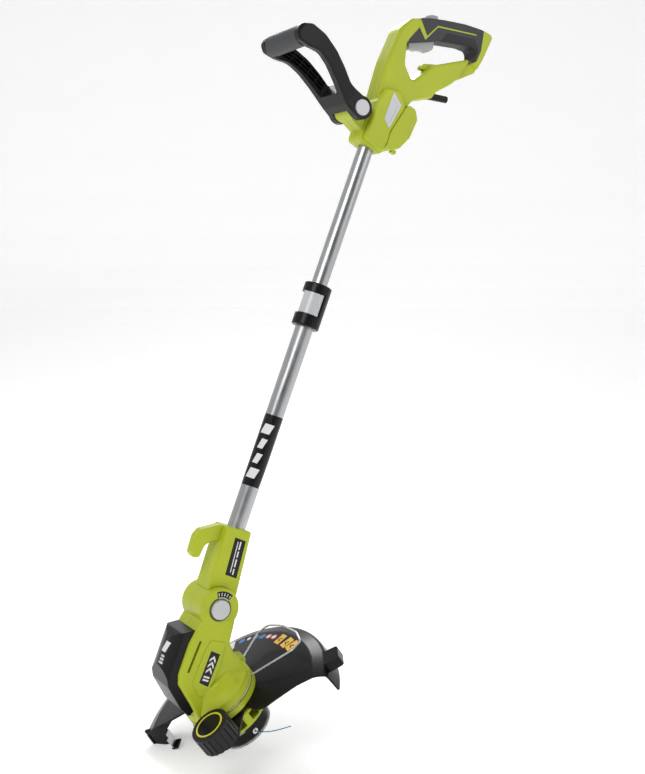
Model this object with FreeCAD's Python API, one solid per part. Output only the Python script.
import FreeCAD, Part
import math
import os

# Corded string trimmer with a telescopic shaft, a tilting head and an edging wheel.
#
# Every piece is drawn in the shaft frame: the shaft axis is z (up the shaft), x points to the
# operator, y points to the tool's right-hand side and the origin is the tilt pivot.
# The head has a frame of its own: z up the motor axis, origin on that axis level with the pivot.
# At the end each piece is leant back by LEAN and moved so that the rear grip is the origin.
# Millimetres throughout.

V = FreeCAD.Vector

# ---- posture -------------------------------------------------------------------------------
LEAN = 22.0             # shaft leans back from vertical
HEAD_TILT = 58.0        # motor axis away from the shaft axis
AXIS_OFFSET = 71.0      # pivot axis to motor axis, across the motor axis
GRIP_CENTRE = V(75, 0, 971)

# ---- shaft ---------------------------------------------------------------------------------
LOWER_R = 14.0          # 28 mm lower tube
UPPER_R = 12.5          # 25 mm upper tube
TUBE_WALL = 1.2
LOWER_Z = (34.0, 492.0)
UPPER_Z = (300.0, 822.0)
CLAMP_Z = (437.0, 505.0)
CLAMP_R = 21.5
GAP = 0.4               # air between bodies that move past each other
RUN = 0.05              # radial clearance of a running fit
SCREW_HEAD = 2.2        # depth of a screw's head
RECESS = (2.2, 0.5)     # half length and half width of the cross recess

# ---- handles -------------------------------------------------------------------------------
FRAME_HALF = 18.0       # half width of the rear handle
BODY_HALF = 26.0        # half width of its lower body
SKIN = 2.2              # thickness of the soft grip
TILT_AXIS = (-48.0, 774.0)   # front handle pivot, x and z
SPINDLE_R = 7.4         # bore for the front handle's spindle
FRONT_ANGLE = 163.0     # direction of the front handle's arms, from +x towards +z

# ---- head ----------------------------------------------------------------------------------
BARREL_R = 31.0
BARREL_HALF = 34.0
BASE_TOP, BASE_LOW = -108.0, -132.0
BASE_R = 57.5
SLOT_Z = -120.0
GUARD_SCREW_ANGLES = (20, 90, 170, 320)
WIRE_R = 1.5
GUARD_R = 168.0
GUARD_LOW = -192.0
WHEEL_PLACE = (-49.0, -76.0)
WHEEL_Z = (-129.0, -97.0)
WHEEL_R = 29.0
WHEEL_AXLE_R = 4.0
HUB_RING = (21.5, 18.9)      # coloured ring let into the wheel's face
RING_Z = (-161.0, -139.5)
RING_R = 60.0
CAP_R = 43.5
CAP_LOW = -198.0
EYE_Z = -184.0
LINE_R = 0.75

PARTS = {}


# ---- helpers ---------------------------------------------------------------------------------
def keep(name, shape):
    """File a finished piece under its name."""
    PARTS[name] = shape


def rod(r, start, end, axis="z", at=(0, 0)):
    """Cylinder from start to end along an axis, its centre at the two other coordinates."""
    length = end - start
    if axis == "z":
        return Part.makeCylinder(r, length, V(at[0], at[1], start), V(0, 0, 1))
    if axis == "y":
        return Part.makeCylinder(r, length, V(at[0], start, at[1]), V(0, 1, 0))
    return Part.makeCylinder(r, length, V(start, at[0], at[1]), V(1, 0, 0))


def ring(r_out, r_in, start, end, axis="z", at=(0, 0)):
    """Plain ring."""
    return rod(r_out, start, end, axis, at).cut(rod(r_in, start - 1, end + 1, axis, at))


def box(x, y, z):
    """Box between pairs of coordinates."""
    return Part.makeBox(x[1] - x[0], y[1] - y[0], z[1] - z[0], V(x[0], y[0], z[0]))


def rounded_wire(points, place):
    """Closed wire through points (a, b, radius), each corner rounded by its own radius."""
    count = len(points)
    corners = [V(p[0], p[1], 0) for p in points]
    starts, middles, ends = [], [], []
    for i in range(count):
        here = corners[i]
        before = (corners[i - 1] - here).normalize()
        after = (corners[(i + 1) % count] - here).normalize()
        turn = before.getAngle(after)
        radius = points[i][2]
        if radius == 0 or turn > math.pi - 1e-4:
            starts.append(here)
            middles.append(None)
            ends.append(here)
            continue
        back = radius / math.tan(turn / 2)
        reach = radius / math.sin(turn / 2) - radius
        starts.append(here + before * back)
        middles.append(here + (before + after).normalize() * reach)
        ends.append(here + after * back)
    edges = []
    for i in range(count):
        if middles[i] is not None:
            edges.append(Part.Arc(place(starts[i]), place(middles[i]), place(ends[i])).toShape())
        start = place(ends[i])
        end = place(starts[(i + 1) % count])
        if start.distanceToPoint(end) > 1e-6:
            edges.append(Part.LineSegment(start, end).toShape())
    return Part.Wire(edges)


def slab(points, y0, y1):
    """Side outline (x, z, radius) given a width in y."""
    wire = rounded_wire(points, lambda p: V(p.x, y0, p.y))
    return Part.Face(wire).extrude(V(0, y1 - y0, 0))


def plate(points, z0, z1):
    """Plan outline (x, y, radius) given a thickness in z."""
    wire = rounded_wire(points, lambda p: V(p.x, p.y, z0))
    return Part.Face(wire).extrude(V(0, 0, z1 - z0))


def spun(points, angle=360.0, start=0.0):
    """Outline (r, z, radius) turned about the z axis."""
    wire = rounded_wire(points, lambda p: V(p.x, 0, p.y))
    solid = Part.Face(wire).revolve(V(0, 0, 0), V(0, 0, 1), angle)
    solid.rotate(V(0, 0, 0), V(0, 0, 1), start)
    return solid


def soften_rims(solid, radius, widths):
    """Round the edges that lie in the planes y = width."""
    chosen = []
    for edge in solid.Edges:
        low, high = edge.BoundBox.YMin, edge.BoundBox.YMax
        if high - low < 1e-4 and any(abs(low - w) < 1e-3 for w in widths):
            chosen.append(edge)
    return solid.makeFillet(radius, chosen)


def fused(shapes):
    """One solid from overlapping ones, with its split faces joined."""
    return shapes[0].multiFuse(shapes[1:]).removeSplitter()


def left(shape):
    """The half on the tool's left."""
    return shape.common(box((-400, 400), (-200, 0), (-400, 1200)))


def right(shape):
    """The half on the tool's right."""
    return shape.common(box((-400, 400), (0, 200), (-400, 1200)))


def group(shapes):
    """Separate identical pieces kept under one name."""
    return Part.makeCompound(shapes)


def screw(x, z, y_head, y_tip, head_r=3.4, shank_r=1.8):
    """Pan-head screw lying across the tool, with a cross recess."""
    way = 1 if y_tip > y_head else -1
    under = y_head + SCREW_HEAD * way
    head = rod(head_r, min(y_head, under), max(y_head, under), "y", (x, z))
    shank = rod(shank_r, min(y_head, y_tip), max(y_head, y_tip), "y", (x, z))
    body = head.fuse(shank)
    deep = (y_head - 1.0, y_head + 1.2) if way > 0 else (y_head - 1.2, y_head + 1.0)
    long, thin = RECESS
    body = body.cut(box((x - long, x + long), deep, (z - thin, z + thin)))
    return body.cut(box((x - thin, x + thin), deep, (z - long, z + long)))


def screw_room(x, z, y_head, y_tip, head_r=3.4, shank_r=1.8):
    """Hole for a screw: its shank's own size, and a wider pocket from the head outwards."""
    way = 1 if y_tip > y_head else -1
    seat = y_head + SCREW_HEAD * way
    far = y_head - 40 * way
    pocket = rod(head_r + 0.25, min(seat, far), max(seat, far), "y", (x, z))
    return pocket.fuse(rod(shank_r, min(y_head, y_tip), max(y_head, y_tip), "y", (x, z)))


def coil(radius, wire, length, turns):
    """Coil spring along z from the origin."""
    helix = Part.makeHelix(length / turns, length, radius)
    start = Part.Wire(Part.makeCircle(wire, V(radius, 0, 0), V(0, 1, 0)))
    return Part.Wire(helix).makePipeShell([start], True, True)


def tube_along(points, r, bends):
    """Round bar along points, with a tangent arc at every inner point."""
    edges = []
    here = points[0]
    for i in range(1, len(points) - 1):
        before = (points[i - 1] - points[i]).normalize()
        after = (points[i + 1] - points[i]).normalize()
        turn = before.getAngle(after)
        back = bends[i - 1] / math.tan(turn / 2)
        half = (before + after).normalize()
        middle = points[i] + half * (bends[i - 1] / math.sin(turn / 2) - bends[i - 1])
        start = points[i] + before * back
        end = points[i] + after * back
        edges.append(Part.LineSegment(here, start).toShape())
        edges.append(Part.Arc(start, middle, end).toShape())
        here = end
    edges.append(Part.LineSegment(here, points[-1]).toShape())
    way = (points[1] - points[0]).normalize()
    section = Part.Wire(Part.makeCircle(r, points[0], way))
    return Part.Wire(edges).makePipeShell([section], True, True)


def from_head(shape):
    """Bring a piece drawn in the head frame into the shaft frame."""
    moved = shape.copy()
    moved.translate(V(-AXIS_OFFSET, 0, 0))
    moved.rotate(V(0, 0, 0), V(0, 1, 0), -HEAD_TILT)
    return moved


# ---- rear handle -----------------------------------------------------------------------------
RISER = [(-26, 735, 6), (20, 731, 6), (34, 812, 6), (44, 836, 8), (76, 856, 5), (80, 868, 6),
         (108, 900, 60), (124, 950, 3), (60, 905, 3), (31, 861, 7), (9, 879, 16), (0, 912, 5),
         (14, 945, 10), (8, 957, 5), (-4, 952, 12), (-19, 930, 30), (-24, 870, 90), (-20, 800, 60),
         (-27, 765, 12)]
GRIP = [(-8, 905, 4), (0, 912, 5), (52, 943, 25), (105, 964, 12), (126, 968, 8), (132, 955, 6),
        (128, 944, 5), (141, 934, 6), (147, 962, 30), (152, 1006, 7), (126, 1004, 50), (92, 995, 90),
        (54, 981, 90), (26, 969, 60), (-3, 952, 12), (-12, 930, 8)]
BAR = [(31, 861, 0), (60, 886, 0), (128, 944, 0), (140, 950, 3), (141, 934, 8), (108, 902, 50),
       (74, 868, 4), (40, 850, 4)]
SOFT_AREA = [(0, 890, 0), (40, 900, 0), (118, 935, 0), (134, 950, 3), (136, 970, 4), (132, 990, 4),
             (127, 1012, 0), (-2, 975, 0), (-5, 945, 3), (1, 920, 3)]
VEE = [(1, 952, 0), (29, 932, 0), (44, 962, 0), (118, 988, 0), (117, 989.6, 0), (43, 964, 0),
       (30, 939, 0), (4, 962, 0)]
PAD_AREA = [(52, 930, 0), (118, 930, 0), (131, 956, 6), (131, 970, 6), (117, 981, 6), (62, 962, 8)]
LOWER_BODY = [(-22, 738, 8), (16, 733, 5), (19, 752, 5), (18, 768, 5), (30, 814, 5), (14, 834, 6),
              (-14, 826, 8), (-22, 800, 8)]
DOME = [(19.5, 745, 2), (18.5, 768, 5), (30.5, 814, 3), (37, 822, 4), (50, 821, 8), (59, 808, 10),
        (56, 776, 16), (44, 752, 16), (30, 742, 8)]
SIDE_PLATE = [(0, 826, 2), (21, 813, 2), (13, 771, 2), (-1, 780, 2)]
RISER_HOLLOW = [(-16, 838, 3), (16, 838, 3), (4, 872, 6), (-6, 908, 3), (-14, 915, 3), (-19, 870, 20)]
BODY_HOLLOW = [(-17, 745, 3), (12, 740, 3), (14, 768, 3), (22, 806, 3), (10, 826, 3), (-12, 820, 3)]
TRIGGER_SLOT = [(8, 900, 0), (54, 925, 0), (55, 955, 0), (44, 962, 0), (6, 946, 0)]
LOCK_SLOT = [(20, 950, 0), (48, 957, 0), (48, 988, 0), (20, 988, 0)]
SWITCH_BAY = [(56, 948, 0), (80, 958, 0), (78, 982, 0), (54, 974, 0)]
HANDLE_SCREWS = [(-9, 928), (119, 926), (142, 985), (27, 843), (-9, 838), (36, 868)]
HANDLE_SCREW_SIZE = (15.0, -6.0, 3.0, 1.5)   # head's outer face, tip, head radius, shank radius
TRIGGER_PIN = (15.0, 943.0)
CORD_WAY = 18.0          # the cord leaves the handle at this angle above x
CORD_EXIT = (76.0, 862.0)
SLEEVE_R = 5.5
SLEEVE_BORE = 3.9
SLEEVE_OUT = 38.0


def cord_rod(r, start, end):
    """Rod on the cord's line, between two distances from where it leaves the housing."""
    way = V(math.cos(math.radians(CORD_WAY)), 0, math.sin(math.radians(CORD_WAY)))
    return Part.makeCylinder(r, end - start, V(CORD_EXIT[0], 0, CORD_EXIT[1]) + way * start, way)


def cord_hook():
    """Hook inside the D opening that holds the extension lead."""
    outline = [(58, 878, 0), (62, 897, 4), (44, 893, 3), (46, 902, 4), (68, 912, 7), (84, 908, 4),
               (94, 912, 0), (84, 898, 0)]
    return slab(outline, -6, 6)


def handle_masses():
    """Solid shapes that make up the rear handle, the grip first."""
    riser = soften_rims(slab(RISER, -FRAME_HALF, FRAME_HALF), 4.5, (-FRAME_HALF, FRAME_HALF))
    half = FRAME_HALF - 1
    grip = soften_rims(slab(GRIP, -half, half), 4.5, (-half, half))
    body = soften_rims(slab(LOWER_BODY, -BODY_HALF, BODY_HALF), 4, (-BODY_HALF, BODY_HALF))
    x, z = TILT_AXIS
    boss = rod(16.5, -20, 20, "y", TILT_AXIS)
    link = slab([(x, z - 16.5, 0), (-20, 748, 0), (-15, 790, 0), (x, z + 10, 0)], -15, 15)
    bar = soften_rims(slab(BAR, -13, 13), 2.0, (-13, 13))
    return [grip, riser, bar, body, boss, link, cord_hook()]


def rear_handle():
    """Two moulded halves, the soft grip over them, and the pad let into it."""
    masses = handle_masses()
    grip = masses[0]
    whole = fused(masses)
    core_half = FRAME_HALF - 1 - SKIN
    core_wire = rounded_wire(GRIP, lambda p: V(p.x, -core_half, p.y)).makeOffset2D(-SKIN)
    core = Part.Face(core_wire).extrude(V(0, 2 * core_half, 0))
    openings = [slab(TRIGGER_SLOT, -7.5, 7.5), slab(LOCK_SLOT, -7, 7)]
    layer = grip.cut(core).common(slab(SOFT_AREA, -40, 40)).cut(slab(VEE, -40, 40))
    pad_area = slab(PAD_AREA, -40, 40)
    soft = layer.cut(pad_area).cut(openings[0]).cut(openings[1])
    post = rod(UPPER_R + 3.5, 725, 830)
    hollows = [slab(RISER_HOLLOW, -15, 15), slab(BODY_HOLLOW, -23, 23).cut(post)]
    hollows.append(slab(SWITCH_BAY, -9, 9))
    bores = [rod(UPPER_R, 700, UPPER_Z[1]), rod(SPINDLE_R, -30, 30, "y", TILT_AXIS), cord_rod(6.6, -34, -1),
             cord_rod(SLEEVE_R + 0.1, -2, 14), rod(2.1, -12, 12, "y", TRIGGER_PIN)]
    plates = [slab(SIDE_PLATE, way * BODY_HALF - 1, way * BODY_HALF + 1) for way in (-1, 1)]
    screw_holes = [screw_room(x, z, *HANDLE_SCREW_SIZE) for x, z in HANDLE_SCREWS]
    bosses = [rod(4.0, -24, 24, "y", spot) for spot in HANDLE_SCREWS]
    for boss in bosses:
        hollows = [hollow.cut(boss) for hollow in hollows]
    for tool in [layer] + openings + hollows + bores + plates + screw_holes:
        whole = whole.cut(tool)
    keep("rear_handle_left", biggest(left(whole)))
    keep("rear_handle_right", biggest(right(whole)))
    keep("soft_grip", lumps(soft, 200))
    keep("grip_pad", lumps(layer.common(pad_area), 200))


def biggest(shape):
    """The largest solid of a result."""
    return max(shape.Solids, key=lambda s: s.Volume)


def lumps(shape, least):
    """All solids above a least volume."""
    solids = [s for s in shape.Solids if s.Volume > least]
    return solids[0] if len(solids) == 1 else Part.makeCompound(solids)


def side_plates():
    """Bright trim plates, one let into each side of the lower body."""
    pair = []
    for way in (-1, 1):
        face = way * BODY_HALF
        low, high = sorted((face - way, face + way * 0.6))
        piece = slab(SIDE_PLATE, low, high)
        inner = [(3, 817, 1), (16, 808.5, 1), (10, 778, 1), (2, 783, 1)]
        low, high = sorted((face, face + way * 2))
        pair.append(piece.cut(slab(inner, low, high)))
    keep("side_plates", group(pair))


def rear_cover():
    """Domed cover over the capacitor, behind the lower body."""
    outer = soften_rims(slab(DOME, -24, 24), 1.8, (-24, 24))
    inner = slab([(10, 748, 0), (10, 812, 0), (38, 818, 3), (48, 817, 6), (55, 806, 8), (52, 777, 14),
                  (42, 756, 14), (30, 746, 4)], -21, 21)
    tab = box((44, 52), (-4, 4), (748, 754))
    seat = slab(LOWER_BODY, -BODY_HALF, BODY_HALF).fuse(slab(RISER, -FRAME_HALF, FRAME_HALF))
    keep("rear_cover", biggest(outer.fuse(tab).cut(inner).cut(seat)))
    keep("capacitor", rod(8.5, -15, 15, "y", (39, 788)))


def trigger_group():
    """Trigger on its pin, its torsion spring, the lock-off button and the switch."""
    blade = [(9.6, 944.5, 2), (8.5, 916, 3), (12, 908, 3), (19, 913.5, 6), (26, 914.5, 4), (32, 918.5, 3),
             (39, 921.5, 6), (47, 922.5, 4), (53.5, 930, 3), (53, 940, 3), (48, 947, 2), (30, 952.5, 2),
             (17, 948.6, 2)]
    trigger = soften_rims(slab(blade, -7, 7), 0.8, (-7, 7)).cut(rod(2.05, -9, 9, "y", TRIGGER_PIN))
    keep("trigger", trigger.cut(rod(3.9, -2.5, 2.5, "y", TRIGGER_PIN)))
    keep("trigger_pin", rod(2.0, -12, 12, "y", TRIGGER_PIN))
    spring = coil(3.0, 0.4, 3.6, 3)
    spring.rotate(V(0, 0, 0), V(1, 0, 0), 90)
    spring.translate(V(TRIGGER_PIN[0], 1.8, TRIGGER_PIN[1]))
    keep("trigger_spring", spring)
    bump = [(23, 959, 0), (23, 973, 3), (33, 980, 8), (45, 984, 3), (45.5, 968, 0)]
    keep("lock_off_button", slab(bump, -6.5, 6.5))
    case = slab([(60, 955, 1), (76, 961, 1), (74, 976, 1), (58, 971, 1)], -6, 6)
    for i in range(2):
        case = case.fuse(box((62 + 6 * i, 63.5 + 6 * i), (-1.5, 1.5), (968 + 2 * i, 975.5 + 2 * i)))
    keep("micro_switch", case)


def cord_entry():
    """Ribbed sleeve where the mains lead enters, and the clamp that holds the lead inside."""
    sleeve = cord_rod(SLEEVE_R, -9, SLEEVE_OUT).fuse(cord_rod(6.4, -9, -3))
    sleeve = sleeve.cut(cord_rod(SLEEVE_BORE, -12, SLEEVE_OUT + 3))
    keep("cord_sleeve", sleeve.removeSplitter())
    clamp = cord_rod(6.0, -26, -16).cut(cord_rod(SLEEVE_BORE, -30, -10))
    keep("cord_clamp", clamp)


def handle_screws():
    """Screws that draw the two handle halves together, from the right-hand side."""
    keep("handle_screws", group([screw(x, z, *HANDLE_SCREW_SIZE) for x, z in HANDLE_SCREWS]))


# ---- front handle ----------------------------------------------------------------------------
ARM_SIDE = [(-4, 17.5, 0), (18, 15, 8), (38, 12.5, 30), (62, 20, 60), (88, 25.5, 60), (118, 26, 30),
            (144, 21, 12), (158, 8, 10), (157, -6, 9), (146, -13, 9), (128, -8, 12), (108, 2, 30),
            (85, 1, 60), (58, -5, 60), (24, -15, 20), (-4, -17.5, 0)]
ARM_PLAN = [(-20, -34, 0), (22, -34, 20), (122, -55, 30), (160, -57, 8), (160, 57, 8), (122, 55, 30),
            (22, 34, 20), (-20, 34, 0)]
LOOP_OPENING = [(42, -24, 5), (124, -44.5, 0), (170, -44.5, 0), (170, 44.5, 0), (124, 44.5, 0),
                (42, 24, 5)]
BOSS_GAP = 20.5
BAR_AT = (142.0, 3.0)
BAR_R = 15.5
BAR_CORE_R = 11.0        # moulded bar inside the rubber sleeve
BOSS_R = 17.5            # round ends of the arms, at the pivot
ARM_ROUND = 3.0          # rounding along the arms' outer edges


def arm_outer(p):
    """Distance of an arm's outer face from the middle plane, at p along the arm."""
    if p < 22.0:
        return 34.0
    if p < 122.0:
        return 34.0 + (p - 22.0) * 0.21
    return 55.0 + (p - 122.0) * 2.0 / 38.0


def soften_arms(loop):
    """Round the long edges that lie in the arms' outer faces."""
    chosen = []
    for edge in loop.Edges:
        first, last = edge.Vertexes[0].Point, edge.Vertexes[-1].Point
        middle = edge.valueAt((edge.FirstParameter + edge.LastParameter) / 2)
        if min(first.x, last.x) < -3.0:
            continue
        if abs(first.x - last.x) < 0.3 and abs(first.z - last.z) > 8.0:
            continue
        if all(abs(abs(q.y) - arm_outer(q.x)) < 1.2 for q in (first, middle, last)):
            chosen.append(edge)
    return loop.makeFillet(ARM_ROUND, chosen)


def arm_inner(p):
    """Distance of an arm's inner face from the middle plane, at p along the arm."""
    return 24.0 + (p - 42.0) * 20.5 / 82.0


def arm_middle(p):
    """Height of an arm's centre line above the line from pivot to bar."""
    return 15.0 * math.sin(math.pi * min(1.0, max(0.0, (p - 18.0) / 150.0))) - 1.0


def arm_cells(way):
    """Open cells between the ribs on the inside of one arm."""
    cells = []
    columns, rows = 5, 3
    for i in range(columns):
        p0 = 48.0 + i * 15.6
        p1 = p0 + 14.2
        for j in range(rows):
            low = -8.2 + j * 5.6
            outline = [(p0, arm_middle(p0) + low, 0), (p1, arm_middle(p1) + low, 0),
                       (p1, arm_middle(p1) + low + 4.4, 0), (p0, arm_middle(p0) + low + 4.4, 0)]
            near = sorted((way * (arm_inner(p0) - 3), way * (arm_inner(p0) + 8)))
            cells.append(slab(outline, near[0], near[1]))
    return cells


def from_arm(shape):
    """Bring a piece drawn along the arms (x from the pivot to the bar) into the shaft frame."""
    moved = shape.copy()
    moved.rotate(V(0, 0, 0), V(1, 0, 0), 180)
    moved.rotate(V(0, 0, 0), V(0, 1, 0), -FRONT_ANGLE)
    moved.translate(V(TILT_AXIS[0], 0, TILT_AXIS[1]))
    return moved


def front_handle():
    """Tilting loop handle with its rubber sleeve, spindle and two press buttons."""
    side = slab(ARM_SIDE, -60, 60)
    plan = plate(ARM_PLAN, -60, 60)
    opening = plate(LOOP_OPENING, -60, 60)
    loop = soften_arms(side.common(plan)).cut(opening)
    loop = loop.fuse(rod(BOSS_R, -34, -21, "y")).fuse(rod(BOSS_R, 21, 34, "y"))
    loop = loop.fuse(rod(BAR_CORE_R, -46, 46, "y", BAR_AT))
    loop = loop.cut(box((-40, 12), (-BOSS_GAP, BOSS_GAP), (-40, 40)))
    loop = loop.cut(rod(BOSS_R + 0.1, -BOSS_GAP, BOSS_GAP, "y"))
    loop = loop.cut(rod(SPINDLE_R, -40, 40, "y"))
    for way in (-1, 1):
        low, high = sorted((way * 29.0, way * 40.0))
        loop = loop.cut(rod(12.6, low, high, "y"))
        for cell in arm_cells(way):
            loop = loop.cut(cell)
        low, high = sorted((way * 32.4, way * 36.6))
        button = rod(12.0, low, high, "y")
        rim = [e for e in button.Edges if abs(abs(e.CenterOfMass.y) - 36.6) < 0.01]
        name = "handle_button_left" if way < 0 else "handle_button_right"
        keep(name, from_arm(mirror_y(button.makeFillet(1.2, rim))))
    keep("front_handle", from_arm(mirror_y(biggest(loop.removeSplitter()))))
    keep("front_grip", from_arm(ring(BAR_R, BAR_CORE_R, -44, 44, "y", BAR_AT)))
    keep("handle_spindle", from_arm(rod(7.35, -28.6, 28.6, "y")))


def mirror_y(shape):
    """Swap left and right before a half turn about the arm, so that the sides stay as named."""
    return shape.mirror(V(0, 0, 0), V(0, 1, 0))


# ---- shaft -----------------------------------------------------------------------------------
def tubes():
    """Two sliding aluminium tubes and the guide on the end of the inner one."""
    keep("upper_tube", ring(UPPER_R, UPPER_R - TUBE_WALL, UPPER_Z[0], UPPER_Z[1]))
    keep("lower_tube", ring(LOWER_R, LOWER_R - TUBE_WALL, LOWER_Z[0], LOWER_Z[1]))
    bush = rod(LOWER_R - TUBE_WALL - RUN, UPPER_Z[0] - 12, UPPER_Z[0])
    bush = bush.fuse(rod(UPPER_R - TUBE_WALL, UPPER_Z[0], UPPER_Z[0] + 14))
    keep("guide_bush", bush.cut(rod(8, UPPER_Z[0] - 20, UPPER_Z[0] + 20)))


def clamp():
    """Telescope clamp: collar with a spine, a flip lever and the lever's pin."""
    low, high = CLAMP_Z
    wall = ring(CLAMP_R, LOWER_R, low, LOWER_Z[1])
    cap = ring(CLAMP_R, UPPER_R + GAP, LOWER_Z[1], high)
    body = wall.fuse(cap).removeSplitter()
    outer = [e for e in body.Edges if e.Length > 120]
    rims = [e for e in outer if min(abs(e.CenterOfMass.z - low), abs(e.CenterOfMass.z - high)) < 0.1]
    body = body.makeFillet(2.0, rims)
    window = Part.makeCylinder(40, 35, V(0, 0, 455), V(0, 0, 1), 201)
    window.rotate(V(0, 0, 0), V(0, 0, 1), 84)
    body = body.cut(window.cut(rod(LOWER_R, 400, 520)))
    pin_x, pin_y = 0.8, -18.4
    body = body.cut(rod(1.55, 447, 499, "z", (pin_x, pin_y)))
    keep("clamp_collar", biggest(body))
    keep("clamp_pin", rod(1.5, 447, 499, "z", (pin_x, pin_y)))
    shell = Part.makeCylinder(20.5, 33.4, V(0, 0, 455.8), V(0, 0, 1), 84)
    shell = shell.cut(Part.makeCylinder(15.6, 40, V(0, 0, 450), V(0, 0, 1)))
    shell.rotate(V(0, 0, 0), V(0, 0, 1), 181)
    knuckle = rod(3.0, 455.8, 489.2, "z", (pin_x, pin_y))
    lever = shell.fuse(knuckle).cut(rod(1.55, 440, 500, "z", (pin_x, pin_y)))
    keep("clamp_lever", biggest(lever.cut(rod(15.0, 450, 500))))


# ---- neck ------------------------------------------------------------------------------------
NECK_HALF = 21.5
NECK = [(-26, 117, 2), (16, 119, 3), (26, 26, 3), (24, 15, 0), (-23, 15, 0), (-23.5, 40, 20)]
NECK_HOLLOW = [(-20, 100, 3), (10, 100, 3), (20, 44, 3), (-18, 44, 3)]
HANG_HOOK = [(-20, 117, 0), (-31, 116, 8), (-59, 101, 9), (-64, 90, 12), (-62.5, 64, 6), (-55, 58.5, 5),
             (-46.5, 62, 4), (-44, 80, 6), (-36, 89, 4), (-20, 92, 0)]
NECK_SCREWS = [(-19.5, 104), (-19.5, 50), (19.0, 53)]
NECK_SCREW_SIZE = (20.5, -12.0, 2.6, 1.4)
AXLE_R = 7.0
TONGUE_R = 26.0
TONGUE_HALF = 11.0


def neck():
    """Collar that turns on the lower tube: two halves, their screws and the retaining ring."""
    block = slab(NECK, -NECK_HALF, NECK_HALF)
    block = soften_rims(block, 3.0, (-NECK_HALF, NECK_HALF))
    edge = slab([(-24, 60, 0), (-30, 40, 0), (-30, 120, 0), (-27, 120, 0)], -30, 30)
    hook = soften_rims(slab(HANG_HOOK, -9, 9), 3.5, (-9, 9))
    block = block.cut(edge).fuse(hook)
    block = block.cut(rod(BARREL_R + 0.6, -60, 60, "y"))
    tongue = rod(TONGUE_R, -TONGUE_HALF, TONGUE_HALF, "y")
    tongue = tongue.fuse(box((-10, 10), (-TONGUE_HALF, TONGUE_HALF), (20, 36)))
    ring_seat = ring(17.0, LOWER_R, 59.8, 66.2)
    hollow = slab(NECK_HOLLOW, -18.5, 18.5).cut(rod(LOWER_R + 3, 0, 130))
    for spot in NECK_SCREWS:
        hollow = hollow.cut(rod(3.6, -20, 20, "y", spot))
    whole = block.fuse(tongue).cut(rod(LOWER_R + RUN, LOWER_Z[0] - 0.3, 130))
    whole = whole.cut(ring_seat).cut(hollow)
    whole = whole.cut(rod(AXLE_R + RUN, -30, 30, "y"))
    for x, z in NECK_SCREWS:
        whole = whole.cut(screw_room(x, z, *NECK_SCREW_SIZE))
    keep("neck_left", biggest(left(whole)))
    keep("neck_right", biggest(right(whole)))
    keep("twist_ring", ring(16.5, LOWER_R, 60, 66))
    keep("neck_screws", group([screw(x, z, *NECK_SCREW_SIZE) for x, z in NECK_SCREWS]))


# ---- motor housing ---------------------------------------------------------------------------
BODY = [(-20, -18, 0), (-26, -42, 4), (-29, -58, 6), (-29, -104, 6), (-24, -118, 6), (4, -141, 8),
        (30, -164, 6), (94, -76, 10), (70, -68, 10), (48, -56, 12), (35, -44, 10), (31, -10, 0)]
BODY_HALF_Y = 34.0
AXLE_HALF = 26.4
BUTTON_R = 14.4
BUTTON_FLOOR = -27.4     # bottom of the button's pocket, across the tool
HOUSING_SCREWS = [(22, -32), (58, -74), (-20, -108), (20, -138)]
HOUSING_SCREW_SIZE = (30.5, -14.0, 3.0, 1.6)
PANEL = [(2, -46, 3), (26, -44, 3), (30, -80, 4), (24, -122, 6), (14, -128, 4), (-5, -112, 3), (-2, -62, 4)]
VENT = [(-15.5, -50, 1.6), (-11.5, -50, 1.6), (-14.5, -98, 1.6), (-18.5, -98, 1.6)]
BUMPER = [(-24, -37, 3), (-44, -47, 6), (-48.5, -56, 8), (-49.5, -102, 9), (-36, -126, 9), (-5, -152, 8),
          (12, -160, 4), (18, -146, 3), (2, -137, 6), (-22, -116, 8), (-27.5, -104, 6), (-27.5, -58, 6),
          (-22, -44, 3)]
BUMPER_HALF = 29.0
CAN_R = 27.0
CAN_Z = (-86.0, -33.0)
BEARING_R = 11.0
SHAFT_R = 4.0


def barrel():
    """Hollow drum of the tilt joint, open at the top where the neck's tongue enters."""
    drum = soften_rims(rod(BARREL_R, -BARREL_HALF, BARREL_HALF, "y"), 3.0, (-BARREL_HALF, BARREL_HALF))
    return drum


def barrel_room():
    """Room inside the drum for the tongue, with the slot that lets it swing."""
    room = rod(TONGUE_R + 0.6, -TONGUE_HALF - 0.6, TONGUE_HALF + 0.6, "y")
    sides = [(0, 0, 0), (42.4, 42.4, 0), (-42.4, 42.4, 0)]
    return room.fuse(slab(sides, -TONGUE_HALF - 0.6, TONGUE_HALF + 0.6))


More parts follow.
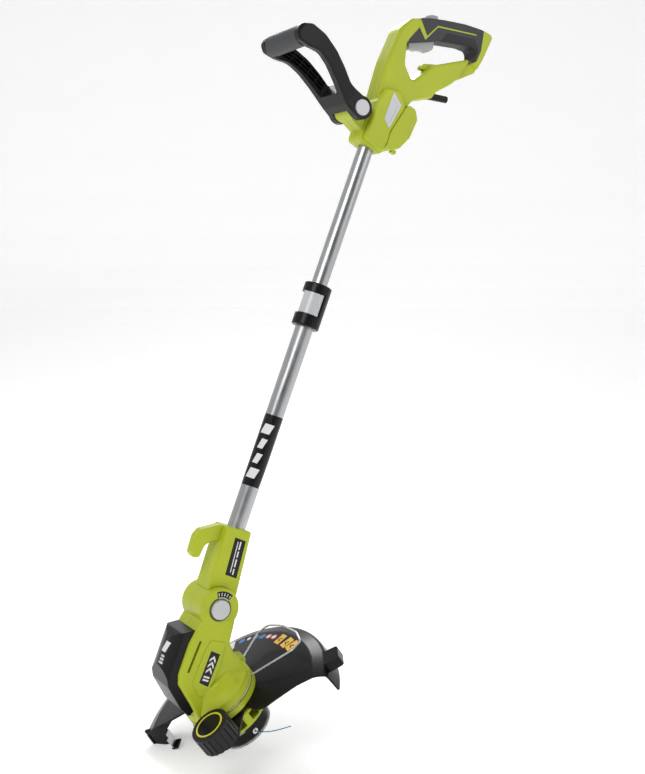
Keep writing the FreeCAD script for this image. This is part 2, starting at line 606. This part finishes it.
def motor_housing():
    """Two halves that carry the tilt drum above and the motor below."""
    body = soften_rims(slab(BODY, -BODY_HALF_Y, BODY_HALF_Y), 5.0, (-BODY_HALF_Y, BODY_HALF_Y))
    floor = from_head(box((-150, 150), (-80, 80), (-300, BASE_TOP)))
    flare = from_head(spun([(0, -80, 0), (40, -80, 6), (47, -92, 20), (57, -104, 3), (57, BASE_TOP, 0),
                            (0, BASE_TOP, 0)]))
    lobe = from_head(rod(15.0, BASE_TOP, -96.0, "z", (47.0, 0)))
    proud = BODY_HALF_Y + 2
    panels = soften_rims(slab(PANEL, -proud, proud), 1.2, (-proud, proud))
    whole = fused([body.cut(floor), flare, lobe, panels.cut(floor), barrel()])
    bay = from_head(rod(CAN_R, BASE_TOP - 1, -32.0))
    wide = from_head(spun([(0, -92, 0), (38, -92, 4), (50, -102, 4), (50, -109, 0), (0, -109, 0)]))
    top_seat = from_head(rod(BEARING_R, -31.0, -22.0))
    whole = whole.cut(bay).cut(wide).cut(top_seat).cut(from_head(rod(SHAFT_R + 1, -33, -16)))
    whole = whole.cut(barrel_room()).cut(rod(AXLE_R, -AXLE_HALF, AXLE_HALF, "y"))
    whole = whole.cut(rod(BUTTON_R + 0.6, -BARREL_HALF - 5, BUTTON_FLOOR, "y"))
    whole = whole.cut(slab(VENT, -60, 60))
    for x, z in HOUSING_SCREWS:
        whole = whole.cut(screw_room(x, z, *HOUSING_SCREW_SIZE))
    keep("motor_housing_left", biggest(left(whole)))
    keep("motor_housing_right", biggest(right(whole)))
    keep("pivot_axle", rod(AXLE_R, -AXLE_HALF, AXLE_HALF, "y"))
    keep("housing_screws", group([screw(x, z, *HOUSING_SCREW_SIZE) for x, z in HOUSING_SCREWS]))


def pivot_button():
    """Press button that frees the tilt, and its spring."""
    front = -BARREL_HALF - 4.6
    cap = rod(BUTTON_R, front, -BARREL_HALF + 1.2, "y")
    rim = [e for e in cap.Edges if abs(e.CenterOfMass.y - front) < 0.01]
    keep("pivot_button", cap.makeFillet(1.8, rim))
    spring = coil(6.0, 0.45, 3.9, 3)
    spring.rotate(V(0, 0, 0), V(1, 0, 0), 90)
    spring.translate(V(0, BUTTON_FLOOR - 0.6, 0))
    keep("pivot_spring", spring)


def bumper():
    """Black guard over the front of the housing."""
    outer = soften_rims(slab(BUMPER, -BUMPER_HALF, BUMPER_HALF), 1.0, (-BUMPER_HALF, BUMPER_HALF))
    rounding = plate([(-49.5, -30, 15), (40, -30, 0), (40, 30, 0), (-49.5, 30, 15)], -200, 20)
    crown = rod(62.0, -200, 20, "z", (13.0, 0))
    outer = outer.common(rounding).common(crown)
    body = slab(BODY, -BODY_HALF_Y, BODY_HALF_Y)
    base = from_head(rod(BASE_R + 2, -200, BASE_TOP + 1.0))
    flare = from_head(spun([(0, -80, 0), (41, -80, 6), (48, -92, 20), (58, -104, 3), (58, -110, 0),
                            (0, -110, 0)]))
    keep("bumper", biggest(outer.cut(body).cut(base).cut(flare)))


# ---- motor -----------------------------------------------------------------------------------
def motor():
    """Series motor: field, armature with its shaft, bearings, brushes and cooling fan."""
    low, high = CAN_Z
    can = rod(CAN_R, low, high).cut(rod(18.0, low - 1, high + 1))
    for way in (-1, 1):
        can = can.cut(box((-8, 8), sorted((way * 23.5, way * 30)), (low + 6, high - 6)))
    keep("motor_field", from_head(can))
    core = rod(17.0, low + 8, high - 14)
    for i in range(12):
        slot = box((14.0, 18.0), (-1.1, 1.1), (low, high))
        slot.rotate(V(0, 0, 0), V(0, 0, 1), 30.0 * i)
        core = core.cut(slot)
    commutator = rod(9.0, high - 13, high - 2)
    armature = core.fuse(commutator).cut(rod(SHAFT_R, low, high + 1))
    keep("armature", from_head(biggest(armature)))
    keep("motor_shaft", from_head(rod(SHAFT_R, -160.0, -18.0)))
    upper = ring(BEARING_R, SHAFT_R + RUN, -30.0, -23.0)
    lower = ring(BEARING_R, SHAFT_R + RUN, -114.0, -107.0)
    keep("bearings", group([from_head(upper), from_head(lower)]))
    holders = []
    for way in (-1, 1):
        sides = sorted((way * 9.3, way * 17.0))
        holders.append(from_head(box((-3, 3), sides, (high - 12, high - 4))))
    keep("brushes", group(holders))
    fan = rod(25.0, -94.0, -92.0).fuse(rod(7.0, -99.0, -89.0))
    for i in range(9):
        blade = box((5.0, 24.5), (-0.6, 0.6), (-98.6, -93.0))
        blade.rotate(V(0, 0, 0), V(0, 0, 1), 40.0 * i)
        fan = fan.fuse(blade)
    keep("cooling_fan", from_head(fan.removeSplitter().cut(rod(SHAFT_R, -100, -88))))


# ---- base ring, wire guard -------------------------------------------------------------------
def base_ring():
    """Ring under the housing with the groove in which the wire guard turns."""
    wall = spun([(49, BASE_TOP, 0), (56.5, BASE_TOP, 1), (57.5, -114, 1), (57.5, SLOT_Z + 2.2, 0),
                 (53, SLOT_Z + 2.2, 0), (53, SLOT_Z - 2.2, 0), (57.5, SLOT_Z - 2.2, 0), (57.5, BASE_LOW, 1.5),
                 (47, BASE_LOW, 0), (47, -118, 0), (49, -116, 0)])
    web = ring(50.0, 14.0, -118.0, -114.5)
    hub = ring(15.0, BEARING_R, -118.0, -107.0)
    floor = ring(15.0, SHAFT_R + 1.5, -118.0, -114.2)
    whole = fused([wall, web, hub, floor])
    for degrees in GUARD_SCREW_ANGLES:
        whole = whole.cut(guard_screw(degrees))
    keep("base_ring", from_head(whole))


def guard_screw(degrees):
    """Screw that holds the debris guard up to the base ring."""
    one = rod(3.0, BASE_LOW - 5.5, BASE_LOW - 3.5, "z", (52.0, 0))
    one = one.fuse(rod(1.6, BASE_LOW - 3.5, BASE_LOW + 8, "z", (52.0, 0)))
    one.rotate(V(0, 0, 0), V(0, 0, 1), degrees)
    return one


def arc_bar(radius, r, start, end):
    """Round bar bent about the z axis between two directions in degrees."""
    bar = Part.makeTorus(radius, r, V(0, 0, 0), V(0, 0, 1), -180, 180, end - start)
    bar.rotate(V(0, 0, 0), V(0, 0, 1), start)
    return bar


def wire_guard():
    """Sprung wire hoop; its ends follow the groove and the hoop stands out over the guard."""
    track = 55.4
    first, last = 17.0, -31.0
    ends = []
    for degrees in (first, last):
        angle = math.radians(degrees)
        ends.append(V(track * math.cos(angle), track * math.sin(angle), 0))
    route = [ends[0], V(108, 40, 0), V(128, 37, 0), V(140, 4, 0), V(141, -36, 0), V(132, -60, 0),
             V(114, -61, 0), ends[1]]
    hoop = tube_along(route, WIRE_R, [14, 14, 60, 30, 9, 10])
    pieces = [hoop, arc_bar(track, WIRE_R, first, 95), arc_bar(track, WIRE_R, -108, last)]
    pieces += [Part.makeSphere(WIRE_R, end) for end in ends]
    wire = pieces[0].multiFuse(pieces[1:])
    wire.translate(V(0, 0, SLOT_Z))
    keep("wire_guard", from_head(biggest(wire)))


# ---- debris guard ----------------------------------------------------------------------------
GUARD_SPAN = (-80.0, 134.0)
POST_ANGLE = 131.0       # direction of the blade post from the motor axis
LUG_ANGLE = -33.0        # direction of the end lug
NEAR_EDGE = [(-90, -58, 0), (0, -66, 10), (25, -84, 20), (79, -93, 60), (109, -104, 30), (129, -120, 0),
             (150, -230, 0), (-90, -230, 0)]
FAR_EDGE = [(-46, 22, 0), (-62, 46, 12), (-80, 84, 4), (-118, 131, 0), (-260, 200, 0), (-260, 10, 0)]


def debris_guard():
    """Domed crescent behind the line, with its skirt, end lug and blade post."""
    start, end = GUARD_SPAN
    profile = [(50, BASE_LOW, 0), (62, BASE_LOW, 8), (146, -149, 14), (165.5, -158, 8)]
    profile += [(GUARD_R, GUARD_LOW, 0), (GUARD_R - 3, GUARD_LOW, 0), (162.5, -160.5, 6)]
    profile += [(145, -152, 14), (61, -135.5, 8), (50, -135.5, 0)]
    shell = spun(profile, end - start, start)
    shell = shell.cut(plate(NEAR_EDGE, -220, -100)).cut(plate(FAR_EDGE, -220, -100))
    hub = ring(57.0, 46.0, -135.5, BASE_LOW)
    lug = guard_lug()
    post = box((121, 166), (-2, 2), (-190, -153))
    post = post.cut(box((100, 129.3), (-5, 5), (-200, -153)))
    tip = box((121, 132), (-2, 15), (-192, -188.6))
    arm = post.fuse(tip)
    arm.rotate(V(0, 0, 0), V(0, 0, 1), POST_ANGLE)
    whole = shell.fuse(hub).fuse(lug).fuse(arm)
    screws = [guard_screw(degrees) for degrees in GUARD_SCREW_ANGLES]
    whole = whole.removeSplitter()
    for one in screws:
        whole = whole.cut(one)
    keep("debris_guard", from_head(biggest(whole)))
    keep("guard_screws", group([from_head(one) for one in screws]))
    blade = box((127.6, 128.8), (-2, 15.4), (-188.4, -164))
    notch = plate([(120, 9, 0), (140, 9, 0), (140, 20, 0), (120, 20, 0)], -170, -150)
    blade = blade.cut(notch)
    blade.rotate(V(0, 0, 0), V(0, 0, 1), POST_ANGLE)
    keep("line_cutter", from_head(blade))


def guard_lug():
    """Block on the outside of the guard's near end."""
    lug = plate([(160, -15, 0), (188, -13, 4), (188, 13, 4), (160, 15, 0)], -168, -151)
    lug.rotate(V(0, 0, 0), V(0, 0, 1), LUG_ANGLE)
    return lug.cut(rod(163.0, -200, -100))


# ---- edging wheel ----------------------------------------------------------------------------
def edging_wheel():
    """Ribbed wheel on a fixed axle, with its ring cap, on a bracket from the guard's hub."""
    x, y = WHEEL_PLACE
    low, high = WHEEL_Z
    tyre = rod(WHEEL_R, low, high, "z", (x, y))
    rims = [e for e in tyre.Edges if e.Length > 150 and abs(e.CenterOfMass.z - high) < 0.1]
    tyre = tyre.makeFillet(1.6, rims)
    count = 20
    for i in range(count):
        angle = 2 * math.pi * i / count
        groove = box((WHEEL_R - 1.2, WHEEL_R + 2), (-1.3, 1.3), (low - 1, high - 3.5))
        groove.rotate(V(0, 0, 0), V(0, 0, 1), math.degrees(angle))
        groove.translate(V(x, y, 0))
        tyre = tyre.cut(groove)
    tyre = tyre.cut(rod(WHEEL_AXLE_R + RUN, low - 1, high - 4, "z", (x, y)))
    tyre = tyre.cut(rod(HUB_RING[0] + 0.5, high - 1.2, high + 1, "z", (x, y)))
    keep("edging_wheel", from_head(tyre))
    keep("wheel_ring", from_head(ring(*HUB_RING, high - 1.2, high + 0.4, "z", (x, y))))
    keep("wheel_cap", from_head(rod(HUB_RING[1], high - 1.2, high + 0.1, "z", (x, y))))
    floor, top = -138.6, -135.5
    base = plate([(-30, -30, 0), (8, -50, 0), (-28, -90, 10), (-52, -94, 10), (-66, -76, 10), (-52, -24, 0)],
                 floor, top)
    base = base.cut(rod(46.0, -140, -130))
    wall = plate([(-58, -46, 0), (-61, -50, 0), (-84, -68, 3), (-86, -64, 3), (-64, -36, 0), (-58, -36, 0)],
                 floor, -112)
    wall = wall.cut(rod(BASE_R + 1.0, top, -100)).cut(rod(WHEEL_R + 1.0, top, -90, "z", (x, y)))
    post = rod(WHEEL_AXLE_R, floor, high - 5, "z", (x, y)).fuse(rod(8.0, floor, low - 0.5, "z", (x, y)))
    keep("wheel_bracket", from_head(biggest(fused([base, wall, post]))))


# ---- spool head ------------------------------------------------------------------------------
def spool_head():
    """Notched carrier on the shaft, cap, reel with its line, bump knob, spring and eyelet."""
    low, high = RING_Z
    carrier = rod(RING_R, low, high).cut(rod(RING_R - 3.5, low - 1, high - 3))
    windows = 14
    for i in range(windows):
        cutter = box((RING_R - 8, RING_R + 3), (-7.5, 7.5), (low + 4.0, high - 3.5))
        cutter.rotate(V(0, 0, 0), V(0, 0, 1), 360.0 * i / windows)
        carrier = carrier.cut(cutter)
    floor = ring(RING_R, CAP_R - 2, low, low + 2.5)
    hub = rod(9.0, -191.0, high).fuse(rod(CAP_R - 2, low, low + 2.0))
    carrier = carrier.fuse(floor).fuse(hub).cut(rod(SHAFT_R, -160.5, high + 1)).cut(rod(5.5, -200, -163))
    keep("spool_carrier", from_head(biggest(carrier.removeSplitter())))
    shell = spun([(CAP_R - 2.6, low, 0), (CAP_R, low, 0), (CAP_R, -190, 3), (CAP_R - 2, CAP_LOW, 2),
                  (38.6, CAP_LOW, 0), (38.6, CAP_LOW + 3, 0), (CAP_R - 2.6, CAP_LOW + 6, 0)])
    shell = shell.cut(rod(3.2, -60, -20, "y", (0, EYE_Z)))
    keep("spool_cap", from_head(shell))
    eye = rod(3.2, -CAP_R - 1.2, -CAP_R + 3.2, "y", (0, EYE_Z))
    eye = eye.fuse(rod(4.4, -CAP_R - 1.4, -CAP_R - 0.2, "y", (0, EYE_Z)))
    keep("eyelet", from_head(eye.cut(rod(1.5, -60, -30, "y", (0, EYE_Z)))))
    reel = ring(13.5, 9.05, -190, -165).fuse(ring(36, 9.05, -167, -165)).fuse(ring(36, 9.05, -190, -188))
    keep("reel", from_head(reel.removeSplitter()))
    keep("wound_line", from_head(ring(30, 13.5, -188, -167)))
    knob = spun([(0, -203.5, 0), (33, -203.5, 3), (38.2, -200, 2), (38.2, -194.5, 0), (20, -194.5, 0),
                 (20, -200, 0), (0, -200, 0)])
    keep("bump_knob", from_head(knob))
    spring = coil(15.0, 0.7, 8.4, 3)
    spring.translate(V(0, 0, -199.2))
    keep("bump_spring", from_head(spring))


def cutting_line():
    """Free length of line that leaves the eyelet."""
    y = -CAP_R - 1.6
    route = [V(0, y, EYE_Z), V(3, y - 16, EYE_Z), V(11, y - 32, EYE_Z), V(22, y - 45, EYE_Z)]
    route.append(V(36, y - 55, EYE_Z))
    bends = []
    for i in range(1, len(route) - 1):
        before = route[i - 1] - route[i]
        after = route[i + 1] - route[i]
        turn = before.getAngle(after)
        bends.append(0.45 * min(before.Length, after.Length) * math.tan(turn / 2))
    keep("cutting_line", from_head(tube_along(route, LINE_R, bends)))


def place_all():
    """Lean every piece back and bring the rear grip's centre to the origin."""
    turned = FreeCAD.Rotation(V(0, 1, 0), LEAN).multVec(GRIP_CENTRE)
    for shape in PARTS.values():
        shape.rotate(V(0, 0, 0), V(0, 1, 0), LEAN)
        shape.translate(V(-turned.x, -turned.y, -turned.z))


def build():
    """Make every piece."""
    rear_handle()
    side_plates()
    rear_cover()
    trigger_group()
    cord_entry()
    handle_screws()
    front_handle()
    tubes()
    clamp()
    neck()
    motor_housing()
    pivot_button()
    bumper()
    motor()
    base_ring()
    wire_guard()
    debris_guard()
    edging_wheel()
    spool_head()
    cutting_line()


if __name__ == "__main__":
    os.makedirs("parts", exist_ok=True)
    build()
    place_all()
    for name, shape in PARTS.items():
        shape.exportStep(f"parts/{name}.step")
        volume = shape.Volume / 1000
        print(f"{name:22s} solids {len(shape.Solids)} valid {shape.isValid()} {volume:8.2f} cm3")
